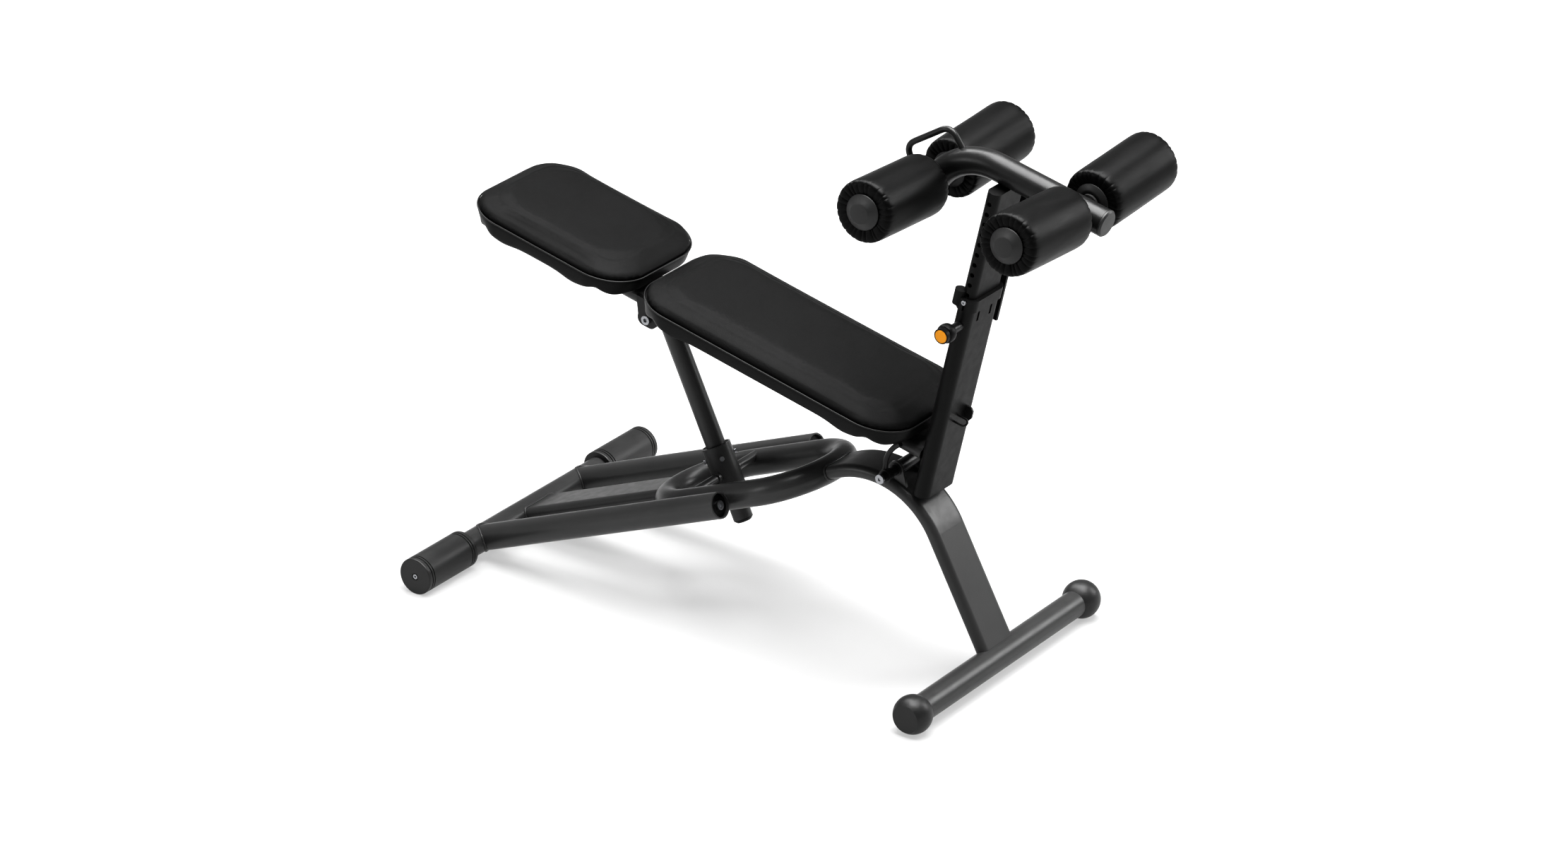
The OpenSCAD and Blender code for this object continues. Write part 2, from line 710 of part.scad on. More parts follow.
// bent rod over the rear end of the beam
module handle() color(black_paint) on_bench() {
    r = 5.8;
    points = [[-34, 650], [-62, 672], [-80, 674], [-146, 608], [-148, 592], [-104, 552]];
    difference() {
        for (i = [0:len(points) - 2]) hull() for (p = [points[i], points[i + 1]])
            translate([p[0], 0, p[1]]) sphere(r = r, $fn = 24);
        beam_solid(beam_d / 2);
    }
}

// foam sleeve with rounded ends
module foam_outline() {
    r = foam_d / 2;
    c = 14;
    difference() {
        union() {
            translate([16, 0]) square([r - 16 - c, foam_l]);
            translate([r - c - 1, c]) square([c + 1, foam_l - 2 * c]);
            for (y = [c, foam_l - c]) translate([r - c, y]) circle(r = c);
        }
        translate([-20, -1]) square([36.1, foam_l + 2]);
    }
}

module foam(front, s) color(leather) at_axle(front) mirror([0, s, 0])
    rotate([axle_tilt, 0, 0]) translate([0, foam_start[s], 0]) rotate([-90, 0, 0])
        rotate_extrude($fn = 96) foam_outline();

// core tube with a flat inner hub and a domed outer hub
module hub_outline() difference() {
    union() {
        translate([12 + fit, -4]) square([16 - 12 - fit, foam_l + 4]);
        polygon([[12 + fit, -5], [24, -5], [34, -0.05], [12 + fit, -0.05]]);
        polygon([[0, foam_l + 9], [19, foam_l + 9], [21, foam_l + 8.2], [33, foam_l + 1],
            [33, foam_l + 0.05], [0, foam_l + 0.05]]);
    }
    square([12 + fit, foam_l + 3]);
}

module hubs(front, s) color(grey_plastic) at_axle(front) mirror([0, s, 0])
    rotate([axle_tilt, 0, 0]) translate([0, foam_start[s], 0]) rotate([-90, 0, 0])
        rotate_extrude() hub_outline();

module rear_left_foam() foam(false, 0);
module rear_right_foam() foam(false, 1);
module front_left_foam() foam(true, 0);
module front_right_foam() foam(true, 1);
module rear_left_hubs() hubs(false, 0);
module rear_right_hubs() hubs(false, 1);
module front_left_hubs() hubs(true, 0);
module front_right_hubs() hubs(true, 1);

// ---- what is drawn ----

front_foot_bar();
ball_feet();
main_tube();
ring_tube();
left_side_tube();
right_side_tube();
side_tube_plugs();
side_tube_bolts();
middle_tube();
rear_foot_bar();
rear_bar_plugs();
left_rear_roller();
right_rear_roller();
rear_roller_screws();
sleeve_trunnions();
pivot_bearing();
pivot_brackets();
strut_sleeve();
sleeve_bush();
sleeve_screws();
strut_tube();
strut_head();
strut_end_plug();
bench_frame_tube();
oval_end_plugs();
clevis_ears();
clevis_bolt();
pivot_arms();
pivot_shaft();
pivot_shaft_bolts();
rear_pad_shell();
front_pad_shell();
rear_pad();
front_pad();
pad_screws();
column_tube();
column_collar();
collar_screw();
post_guide();
band_hook();
pop_pin_barrel();
pop_pin();
pop_pin_spring();
pop_pin_knob();
knob_insert();
inner_post();
post_strip();
top_beam();
beam_caps();
roller_axles();
handle();
rear_left_foam();
rear_right_foam();
front_left_foam();
front_right_foam();
rear_left_hubs();
rear_right_hubs();
front_left_hubs();
front_right_hubs();
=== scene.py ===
"""Looks of the decline sit up bench: finishes, cushions, pans, leg rollers, floor rollers, handle,
welds, and the floor, light and camera they are seen with."""

import json
import math
import random

import bmesh
import bpy
import numpy as np
from mathutils import Matrix, Vector, noise
from mathutils.bvhtree import BVHTree


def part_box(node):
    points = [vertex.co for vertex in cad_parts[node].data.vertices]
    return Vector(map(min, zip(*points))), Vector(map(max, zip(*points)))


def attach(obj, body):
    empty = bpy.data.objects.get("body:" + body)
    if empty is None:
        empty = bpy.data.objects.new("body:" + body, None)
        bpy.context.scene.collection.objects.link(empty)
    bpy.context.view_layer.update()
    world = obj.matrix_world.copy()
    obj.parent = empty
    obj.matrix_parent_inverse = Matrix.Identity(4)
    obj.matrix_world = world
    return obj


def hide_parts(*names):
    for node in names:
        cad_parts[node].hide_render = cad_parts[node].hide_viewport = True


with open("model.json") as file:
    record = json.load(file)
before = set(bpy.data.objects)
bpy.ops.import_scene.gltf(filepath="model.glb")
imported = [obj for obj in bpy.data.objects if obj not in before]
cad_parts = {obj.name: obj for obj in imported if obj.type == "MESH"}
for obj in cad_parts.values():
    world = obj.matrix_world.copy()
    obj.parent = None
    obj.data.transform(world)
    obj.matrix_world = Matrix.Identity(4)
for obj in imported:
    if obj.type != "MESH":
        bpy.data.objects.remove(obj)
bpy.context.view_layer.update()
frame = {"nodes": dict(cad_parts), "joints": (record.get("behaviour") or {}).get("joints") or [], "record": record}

MM = 0.001
nodes = frame["nodes"]
joints = {j["name"]: j for j in frame["joints"]}
TAU = 2 * math.pi


# ---- frames ----


def axes(origin, x, y, z):
    """Matrix that takes local x, y, z to those directions at origin."""
    m = Matrix((x, y, z)).transposed().to_4x4()
    m.translation = origin
    return m


def along(direction, origin):
    """Matrix whose local Z is the direction."""
    z = Vector(direction).normalized()
    side = Vector((0, 0, 1)) if abs(z.z) < 0.9 else Vector((1, 0, 0))
    x = (side - z * side.dot(z)).normalized()
    return axes(origin, x, z.cross(x), z)


# the bench frame: x forward along the pads, z square to them, from the bench pivot
up = Vector(joints["post_slide"]["axis"]).normalized()
BENCH = axes(
    Vector(joints["bench_tilt"]["pos_m"]), Vector((up.z, 0, -up.x)), Vector((0, 1, 0)), up
)


def extent(node, place):
    """Lowest and highest corner of a CAD node, measured along a frame's own axes."""
    inverse = place.inverted()
    points = [inverse @ v.co for v in nodes[node].data.vertices]
    return (
        Vector([min(p[i] for p in points) for i in range(3)]),
        Vector([max(p[i] for p in points) for i in range(3)]),
    )


# ---- materials ----


class Nodes:
    """Small helper that adds nodes to a material and links them."""

    def __init__(self, name):
        self.material = bpy.data.materials.new(name)
        self.material.use_nodes = True
        self.tree = self.material.node_tree
        self.shader = self.tree.nodes["Principled BSDF"]
        self.where = self.add("ShaderNodeTexCoord").outputs["Object"]

    def add(self, kind, **settings):
        node = self.tree.nodes.new(kind)
        for key, value in settings.items():
            setattr(node, key, value)
        return node

    def link(self, a, b):
        self.tree.links.new(a, b)

    def noise(self, scale, detail=3.0, roughness=0.55, where=None):
        node = self.add("ShaderNodeTexNoise")
        node.inputs["Scale"].default_value = scale
        node.inputs["Detail"].default_value = detail
        node.inputs["Roughness"].default_value = roughness
        self.link(where or self.where, node.inputs["Vector"])
        return node.outputs["Fac"]

    def stretched(self, scales):
        node = self.add("ShaderNodeMapping")
        node.inputs["Scale"].default_value = scales
        self.link(self.where, node.inputs["Vector"])
        return node.outputs["Vector"]

    def cells(self, scale, feature="F1", randomness=1.0):
        node = self.add("ShaderNodeTexVoronoi", feature=feature)
        node.inputs["Scale"].default_value = scale
        node.inputs["Randomness"].default_value = randomness
        self.link(self.where, node.inputs["Vector"])
        return node.outputs["Distance"]

    def span(self, value, low, high, to_low, to_high):
        node = self.add("ShaderNodeMapRange")
        for key, number in (
            ("From Min", low),
            ("From Max", high),
            ("To Min", to_low),
            ("To Max", to_high),
        ):
            node.inputs[key].default_value = number
        self.link(value, node.inputs["Value"])
        return node.outputs["Result"]

    def math(self, operation, a, b):
        node = self.add("ShaderNodeMath", operation=operation)
        for i, value in enumerate((a, b)):
            if isinstance(value, (int, float)):
                node.inputs[i].default_value = value
            else:
                self.link(value, node.inputs[i])
        return node.outputs["Value"]

    def mix(self, main, other, share):
        """Sum of two values, the first weighted by its share and the second by the rest."""
        return self.math(
            "ADD",
            self.math("MULTIPLY", main, share),
            self.math("MULTIPLY", other, round(1 - share, 6)),
        )

    def ramp(self, value, stops):
        node = self.add("ShaderNodeValToRGB")
        node.color_ramp.elements[0].position = stops[0][0]
        node.color_ramp.elements[0].color = (*stops[0][1], 1)
        node.color_ramp.elements[1].position = stops[-1][0]
        node.color_ramp.elements[1].color = (*stops[-1][1], 1)
        for position, colour in stops[1:-1]:
            node.color_ramp.elements.new(position).color = (*colour, 1)
        self.link(value, node.inputs["Fac"])
        return node.outputs["Color"]

    def bump(self, height, distance, strength=1.0, under=None):
        node = self.add("ShaderNodeBump")
        node.inputs["Distance"].default_value = distance
        node.inputs["Strength"].default_value = strength
        self.link(height, node.inputs["Height"])
        if under is not None:
            self.link(under, node.inputs["Normal"])
        return node.outputs["Normal"]

    def constant(self, **values):
        for key, value in values.items():
            self.shader.inputs[key.replace("_", " ")].default_value = value

    def finish(self, colour, roughness, normal):
        self.link(colour, self.shader.inputs["Base Color"])
        self.link(roughness, self.shader.inputs["Roughness"])
        self.link(normal, self.shader.inputs["Normal"])
        return self.material


def grey(value):
    return (value, value, value)


def powder_coat(name, tone, rough, specular=0.5, ior=1.5):
    """Satin powder coat: soft orange peel, faint mottling, fine sparkle and a few rubbed places."""
    n = Nodes(name)
    mottle = n.noise(7.0, 4.0)
    fine = n.noise(900.0, 2.0)
    colour = n.ramp(
        n.mix(mottle, fine, 0.75),
        [(0.25, grey(tone * 0.86)), (0.5, grey(tone)), (0.78, grey(tone * 1.16))],
    )
    rubbed = n.span(n.noise(26.0, 5.0, 0.7), 0.58, 0.8, 0.0, -0.07)
    satin = n.span(n.noise(60.0, 3.0), 0.3, 0.7, rough - 0.03, rough + 0.05)
    roughness = n.math("ADD", satin, rubbed)
    peel = n.bump(n.noise(430.0, 2.0, 0.5), 0.00012, 0.5)
    grain = n.bump(n.noise(2400.0, 1.0), 0.00003, 0.4, peel)
    n.constant(Specular_IOR_Level=specular, IOR=ior)
    return n.finish(colour, roughness, grain)


def leather(name, tone, rough):
    """Grained black upholstery: pebbles between creases, finer grain on them, soft broad sheen."""
    n = Nodes(name)
    pebbles = n.cells(620.0, "DISTANCE_TO_EDGE", randomness=0.9)
    small = n.cells(1500.0, "F1")
    broad = n.noise(11.0, 4.0)
    creases = n.span(pebbles, 0.0, 0.16, 0.0, 1.0)
    colour = n.ramp(
        n.mix(broad, creases, 0.7),
        [(0.2, grey(tone * 0.75)), (0.55, grey(tone)), (0.85, grey(tone * 1.25))],
    )
    roughness = n.math(
        "ADD",
        n.span(broad, 0.3, 0.7, rough - 0.04, rough + 0.04),
        n.span(creases, 0, 1, 0.06, -0.02),
    )
    deep = n.bump(creases, 0.00022, 0.55)
    grain = n.bump(n.span(small, 0, 0.6, 1, 0), 0.00006, 0.5, deep)
    n.constant(Specular_IOR_Level=0.3, IOR=1.3)
    return n.finish(colour, roughness, grain)


def foam_skin(name, tone, rough):
    """Soft coated foam cover: close fine grain with long faint stretch marks round the roller."""
    n = Nodes(name)
    grain = n.noise(1300.0, 3.0, 0.6)
    stretch = n.noise(1.0, 4.0, 0.55, n.stretched((60.0, 9.0, 60.0)))
    colour = n.ramp(
        n.mix(stretch, grain, 0.7),
        [(0.25, grey(tone * 0.8)), (0.55, grey(tone)), (0.8, grey(tone * 1.2))],
    )
    roughness = n.span(stretch, 0.3, 0.7, rough - 0.05, rough + 0.05)
    low = n.bump(stretch, 0.0004, 0.35)
    n.constant(Specular_IOR_Level=0.15)
    return n.finish(colour, roughness, n.bump(grain, 0.00008, 0.5, low))


def moulded(name, tone, rough, specular=0.45, colour=None):
    """Moulded plastic with a fine spark-eroded texture."""
    n = Nodes(name)
    base = colour or grey(1.0)

    def shade(share):
        return tuple(c * tone * share for c in base)

    texture = n.noise(1700.0, 2.0, 0.6)
    broad = n.noise(18.0, 3.0)
    ramp = n.ramp(
        n.mix(broad, texture, 0.7), [(0.25, shade(0.88)), (0.5, shade(1.0)), (0.8, shade(1.12))]
    )
    roughness = n.span(broad, 0.3, 0.7, rough - 0.04, rough + 0.05)
    n.constant(Specular_IOR_Level=specular)
    return n.finish(ramp, roughness, n.bump(texture, 0.00006, 0.5))


def zinc(name):
    """Zinc plated steel with faint turning marks and a little cloudiness."""
    n = Nodes(name)
    cloud = n.noise(220.0, 4.0)
    marks = n.noise(1.0, 2.0, 0.5, n.stretched((2600.0, 500.0, 2600.0)))
    colour = n.ramp(
        cloud,
        [(0.3, (0.26, 0.265, 0.275)), (0.6, (0.36, 0.365, 0.38)), (0.8, (0.43, 0.435, 0.44))],
    )
    roughness = n.span(cloud, 0.3, 0.7, 0.24, 0.4)
    n.constant(Metallic=1.0)
    return n.finish(colour, roughness, n.bump(marks, 0.00003, 0.4))


# distance from the origin in m and emission strength, at the start and the end of the floor's painted glow: light
# the floor gives off though it is no lamp, which lightens the shade under the bench and grows further out
PAINTED_GLOW_FROM, PAINTED_GLOW_TO = (0.8, 0.34), (3.4, 0.62)


def floor_paint(name, tone):
    """Plain pale studio floor, a little uneven in tone, with a painted glow of its own that lightens its shade and
    grows further out.
    """
    n = Nodes(name)
    mottle = n.noise(0.8, 3.0)
    colour = n.ramp(mottle, [(0.3, grey(tone * 0.985)), (0.7, grey(tone))])
    out = n.add("ShaderNodeVectorMath", operation="LENGTH")
    n.link(n.where, out.inputs[0])
    painted_glow = n.span(out.outputs["Value"], PAINTED_GLOW_FROM[0], PAINTED_GLOW_TO[0], PAINTED_GLOW_FROM[1], PAINTED_GLOW_TO[1])
    # painted light: the floor gives off light of its own, weakest under the bench and strongest far out
    n.link(painted_glow, n.shader.inputs["Emission Strength"])
    n.constant(Emission_Color=(1, 1, 1, 1))
    n.constant(Specular_IOR_Level=0.15)
    return n.finish(colour, n.span(mottle, 0, 1, 0.6, 0.7), n.bump(n.noise(300.0), 0.0001, 0.05))


slots = {
    "frame_paint": powder_coat("charcoal_powder_coat", 0.044, 0.33, 0.42),
    "black_paint": powder_coat("black_powder_coat", 0.012, 0.33, 0.5, 1.42),
    "pad_cover": leather("black_grained_leather", 0.0055, 0.52),
    "foam_cover": foam_skin("black_foam_skin", 0.003, 0.42),
    "grey_plastic": moulded("grey_moulded_plastic", 0.022, 0.42),
    "black_plastic": moulded("black_moulded_plastic", 0.003, 0.44, 0.22),
    "steel": zinc("zinc_plated_steel"),
    "yellow_plastic": moulded("amber_plastic", 0.75, 0.38, 0.3, (1.0, 0.42, 0.015)),
}

for row in frame["record"]["subparts"]:
    data = nodes[row["node"]].data
    data.materials.clear()
    data.materials.append(slots[row["material_slot"]])

# the column and the post in it have a flatter black than the other black painted pieces
flat_black = powder_coat("flat_black_powder_coat", 0.012, 0.42, 0.5, 1.25)
for node in ("column_tube", "inner_post", "post_strip", "column_collar"):
    nodes[node].data.materials[0] = flat_black


# ---- meshes ----


def shade_smooth(mesh):
    for polygon in mesh.polygons:
        polygon.use_smooth = True


def piece(name, shell, body, slot, place=None, stands_for=()):
    """Mesh object made from a shell, riding on a body, with its material slot's finish."""
    mesh = bpy.data.meshes.new(name)
    verts = [place @ Vector(v) for v in shell.verts] if place else shell.verts
    mesh.from_pydata(verts, [], shell.faces)
    mesh.update()
    bm = bmesh.new()
    bm.from_mesh(mesh)
    bmesh.ops.recalc_face_normals(bm, faces=bm.faces)
    bm.to_mesh(mesh)
    bm.free()
    shade_smooth(mesh)
    mesh.materials.append(slots[slot])
    obj = bpy.data.objects.new(name, mesh)
    bpy.context.scene.collection.objects.link(obj)
    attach(obj, body)
    if stands_for:
        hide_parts(*stands_for)
    return obj


class Shell:
    """Verts and faces gathered from one or more closed shells."""

    def __init__(self):
        self.verts = []
        self.faces = []

    def fan(self, first, count, centre, flip):
        """Closes the ring of count points from first with triangles to a centre point."""
        tip = len(self.verts)
        self.verts.append(centre)
        for k in range(count):
            face = (first + k, first + (k + 1) % count, tip)
            self.faces.append(face[::-1] if flip else face)

    def rings(self, rings, loop_ends=False, cap=True):
        """Skin over rings of equal length. loop_ends joins the last ring to the first."""
        start, count = len(self.verts), len(rings[0])
        for ring in rings:
            self.verts.extend(ring)
        pairs = len(rings) if loop_ends else len(rings) - 1
        for i in range(pairs):
            a, b = start + i * count, start + ((i + 1) % len(rings)) * count
            for k in range(count):
                n = (k + 1) % count
                self.faces.append((a + k, a + n, b + n, b + k))
        if cap and not loop_ends:
            for first, flip in ((start, True), (start + (len(rings) - 1) * count, False)):
                ring = self.verts[first : first + count]
                centre = tuple(sum(p[i] for p in ring) / count for i in range(3))
                self.fan(first, count, centre, flip)

    def lathe(self, outline, segments, move=None):
        """Closed solid of revolution about local Z. The outline's (radius, height) points start and
        end on the axis, or else make a closed loop round a bore."""
        on_axis = outline[0][0] == 0 and outline[-1][0] == 0
        points = outline[1:-1] if on_axis else outline
        rings = []
        for r, h in points:
            ring = []
            for k in range(segments):
                a = TAU * k / segments
                rr, hh = move(r, h, a) if move else (r, h)
                ring.append((rr * math.cos(a), rr * math.sin(a), hh))
            rings.append(ring)
        start = len(self.verts)
        self.rings(rings, loop_ends=not on_axis, cap=False)
        if on_axis:
            self.fan(start, segments, (0, 0, outline[0][1]), True)
            last = start + (len(rings) - 1) * segments
            self.fan(last, segments, (0, 0, outline[-1][1]), False)

    def tube(self, path, radius, sides=10, closed=True, ripple=0.0, pitch=0.004):
        """Round bead along a path of points; ripple swells it in steps as a weld bead does."""
        count = len(path)
        rings, side, run = [], None, 0.0
        for i, p in enumerate(path):
            a = path[i - 1] if closed or i else p
            b = path[(i + 1) % count] if closed or i < count - 1 else p
            t = (b - a).normalized()
            if side is None:
                side = t.orthogonal().normalized()
            side = (side - t * side.dot(t)).normalized()
            other = t.cross(side)
            run += (p - path[i - 1]).length if i else 0.0
            r = radius * (1 + ripple * (abs(math.sin(math.pi * run / pitch)) - 0.6))
            ring = []
            for k in range(sides):
                turn = TAU * k / sides
                ring.append(tuple(p + side * (r * math.cos(turn)) + other * (r * math.sin(turn))))
            rings.append(ring)
        if closed:
            # the last ring's twist is taken out so that it meets the first
            first, last = [Vector(q) for q in rings[0]], [Vector(q) for q in rings[-1]]
            turns = range(sides)
            shift = min(
                turns, key=lambda s: sum((last[(k + s) % sides] - first[k]).length for k in turns)
            )
            b = len(self.verts)
            a = b + (count - 1) * sides
            self.rings(rings, cap=False)
            for k in turns:
                n = (k + 1) % sides
                ends = (a + (k + shift) % sides, a + (n + shift) % sides)
                self.faces.append((*ends, b + n, b + k))
        else:
            self.rings(rings)


def outline(half_l, half_w, radius, step):
    """Points round a rounded rectangle, in mm: x, y, outward x, outward y, and the distance to the
    nearest corner arc."""
    points = []
    k = max(6, int(math.pi / 2 * radius / step))
    for quarter in range(4):
        sx = 1 if quarter in (0, 3) else -1
        sy = 1 if quarter in (0, 1) else -1
        cx, cy = sx * (half_l - radius), sy * (half_w - radius)
        for i in range(k + 1):
            a = math.radians(90 * quarter) + math.pi / 2 * i / k
            c, s = math.cos(a), math.sin(a)
            points.append((cx + radius * c, cy + radius * s, c, s, 0.0))
        long_edge = quarter in (0, 2)
        length = 2 * ((half_l if long_edge else half_w) - radius)
        a = math.radians(90 * (quarter + 1))
        nx, ny = math.cos(a), math.sin(a)
        tx, ty = -ny, nx
        n = max(2, int(length / step))
        x0, y0 = points[-1][0], points[-1][1]
        for i in range(1, n):
            d = length * i / n
            points.append((x0 + tx * d, y0 + ty * d, nx, ny, min(d, length - d)))
    return points


def smooth_step(a, b, x):
    """0 at a, 1 at b, with no corner at either."""
    t = min(1.0, max(0.0, (x - a) / (b - a)))
    return t * t * (3 - 2 * t)


def bell(x, centre, width):
    """1 at the centre, falling off to both sides."""
    return math.exp(-(((x - centre) / width) ** 2))


# ---- cushions ----

CLOTH_FRAMES = 20
CLOTH_CAP = 0.005  # how far the cloth may move a point, in m
CLOTH_EVENED = 30  # rounds of evening out
HELD_BELOW = 0.0022  # height up to which the cover is held at its seam, in m
VOXEL = 0.005  # of the remesh before the cloth, in m


def inflate(obj):
    """Blows the cover up as cloth, evens out its folds and caps how far each point moves."""
    group = obj.vertex_groups.new(name="held")
    held = [v.index for v in obj.data.vertices if v.co.z < HELD_BELOW]
    group.add(held, 1.0, "REPLACE")
    cloth = obj.modifiers.new("cover", "CLOTH")
    settings = cloth.settings
    settings.quality = 6
    settings.mass = 0.35
    settings.tension_stiffness = 18
    settings.compression_stiffness = 18
    settings.shear_stiffness = 6
    settings.bending_stiffness = 0.8
    settings.use_pressure = True
    settings.uniform_pressure_force = 4.0
    settings.vertex_group_mass = "held"
    settings.effector_weights.gravity = 0
    cloth.collision_settings.use_collision = False
    cloth.collision_settings.use_self_collision = False
    cloth.point_cache.frame_start = 1
    cloth.point_cache.frame_end = CLOTH_FRAMES
    scene = bpy.context.scene
    for f in range(1, CLOTH_FRAMES + 1):
        scene.frame_set(f)
    before = np.array([v.co for v in obj.data.vertices])
    blown = obj.evaluated_get(bpy.context.evaluated_depsgraph_get()).to_mesh()
    step = np.array([v.co for v in blown.vertices]) - before
    obj.evaluated_get(bpy.context.evaluated_depsgraph_get()).to_mesh_clear()
    obj.modifiers.remove(cloth)
    obj.vertex_groups.clear()
    # the cover is stretched tight over its foam, so its small folds are evened out
    a, b = np.array([e.vertices for e in obj.data.edges]).T
    count = np.bincount(np.concatenate((a, b)), minlength=len(before))[:, None]
    for _ in range(CLOTH_EVENED):
        total = np.zeros_like(step)
        np.add.at(total, a, step[b])
        np.add.at(total, b, step[a])
        step = 0.5 * step + 0.5 * total / count
    length = np.linalg.norm(step, axis=1)[:, None]
    step *= np.minimum(1.0, CLOTH_CAP / np.maximum(length, 1e-9))
    obj.data.vertices.foreach_set("co", (before + step).ravel())
    obj.data.update()
    scene.frame_set(1)


def baked(obj):
    """Replaces an object's mesh with the result of its modifiers."""
    depsgraph = bpy.context.evaluated_depsgraph_get()
    mesh = bpy.data.meshes.new_from_object(obj.evaluated_get(depsgraph))
    obj.modifiers.clear()
    obj.data = mesh


# radius of the pads' corners seen from above, in mm
CORNER = 84.0
# inset from a pad's outline and height above its seam, in mm on a pad of PROFILE_HEIGHT
PROFILE = ((9, 0), (2, 0), (0.2, 0.8), (-0.4, 3), (0, 6), (1.6, 10), (4.6, 14), (9, 17.4))
PROFILE += ((16, 20.4), (24, 22.7), (31, 24.3), (36, 25.1), (44, 25.6), (60, 26))
PROFILE_HEIGHT = 27.0
# how much lower and further in the cover starts when cloth is going to blow it up, in mm
UNDER_SIZE = (1.0, 0.4)
# how far the sides pull in between the corners and the top rises in its middle, in mm
SIDE_PULL, CROWN = 1.5, 1.5
# inset and half width of the pressed ridge and of the dip behind it, in mm
RIDGE, DIP = (35, 3.2), (42, 4.5)
GATHER = 0.35  # depth of the gathers round the corners, in mm


def plan(node, rear_out, front_in):
    """Half length and half width of a pad or pan in mm, and the middle of its length in the bench
    frame, with its rear end moved out and its front end moved in."""
    low, high = extent(node, BENCH)
    half_l, half_w = (high.x - low.x) / 2 / MM, (high.y - low.y) / 2 / MM
    half_l += (rear_out - front_in) / 2
    return half_l, half_w, (low.x + high.x) / 2 - (rear_out + front_in) / 2 * MM


def cushion(name, node, seed, rear_out=0.0, front_in=0.0):
    """Crowned pad cover: walls that swell over the pan's rim, soft shoulders, a pressed line along
    each shoulder, and short gathers where the cover turns the corners."""
    low, high = extent(node, BENCH)
    height = (high.z - low.z) / MM
    half_l, half_w, middle = plan(node, rear_out, front_in)
    place = BENCH @ Matrix.Translation((middle, (low.y + high.y) / 2, low.z))
    lower, inward = UNDER_SIZE
    top = (height - lower) / PROFILE_HEIGHT
    loop = outline(half_l, half_w, CORNER, 5.0)
    rings = []
    for inset, h in PROFILE:
        ring = []
        for x, y, nx, ny, edge in loop:
            pull = SIDE_PULL * smooth_step(0, 90, edge) * smooth_step(1, 9, h)
            d = inset + pull + inward
            ring.append(((x - nx * d) * MM, (y - ny * d) * MM, h * top * MM))
        rings.append(ring)
    shell = Shell()
    shell.rings(rings)
    obj = piece(name, shell, "bench", "pad_cover", stands_for=(node,))
    obj.parent = None
    remesh = obj.modifiers.new("even", "REMESH")
    remesh.mode = "VOXEL"
    remesh.voxel_size = VOXEL
    remesh.use_smooth_shade = True
    baked(obj)
    inflate(obj)
    subdivide = obj.modifiers.new("fine", "SUBSURF")
    subdivide.levels = subdivide.render_levels = 1
    baked(obj)
    corner = CORNER - 1
    for v in obj.data.vertices:
        x, y, h = v.co.x / MM, v.co.y / MM, v.co.z / MM
        qx, qy = abs(x) - (half_l - corner), abs(y) - (half_w - corner)
        outside = math.hypot(max(qx, 0), max(qy, 0)) + min(max(qx, qy), 0)
        inset = corner - outside
        face_up = smooth_step(14, 22, h)
        crown = CROWN * (1 - (y / half_w) ** 2) * (1 - (x / half_l) ** 4)
        p = Vector((x, y, h)) * 0.011 + Vector((seed, 0, 0))
        soft = 0.45 * noise.noise(p)
        rough = noise.noise(Vector((x, y, h)) * 0.11 + Vector((0, seed, 0)))
        ridge = bell(inset, RIDGE[0] + 1.5 * noise.noise(p * 2), RIDGE[1])
        crease = ridge - 0.8 * bell(inset, *DIP)
        lift = face_up * (crown + soft + crease * (0.55 + 0.45 * rough))
        gather = 0.0
        if qx > 0 and qy > 0:
            turn = math.atan2(qy, qx)
            gather = GATHER * math.sin(turn * 34 + seed) * bell(h, 5, 4) * math.sin(turn * 2) ** 2
        away = Vector((math.copysign(max(qx, 0), x), math.copysign(max(qy, 0), y), 0))
        away = away.normalized() if away.length > 0 else away
        v.co += (Vector((0, 0, lift)) + away * gather) * MM
    obj.data.transform(place)
    obj.data.update()
    shade_smooth(obj.data)
    obj.data.materials.clear()
    obj.data.materials.append(slots["pad_cover"])
    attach(obj, "bench")


# inset in mm, share of the depth, and how much of the lower edge's wave the row takes
PAN_ROWS = ((60, 0, 0), (5, 0, 0), (1.6, 0, 0), (0.6, 0.004, 0), (0.3, 0.03, 0), (0.5, 0.13, 0.1))
PAN_ROWS += ((1.2, 0.28, 0.3), (2.2, 0.42, 0.7), (3.2, 0.52, 1), (5, 0.59, 1), (8.2, 0.64, 0.9))
PAN_ROWS += ((14, 0.69, 0.6), (26, 0.77, 0.3), (42, 0.88, 0.1), (54, 0.97, 0), (59, 0.995, 0))
PAN_ROWS += ((62, 1, 0),)
# distance from the pad's ends, depth and width of the lower edge's dip, notch and end lobe, in mm
PAN_DIP, PAN_NOTCH, PAN_LOBE = (104, 5.5, 30), (55, -5.5, 13), (22, 4.0, 15)
# the lip's radius, how far it stands out from the pan's outline and how high it lies, in mm
LIP_RADIUS, LIP_OUT, LIP_HEIGHT = 1.5, 0.5, 1.7


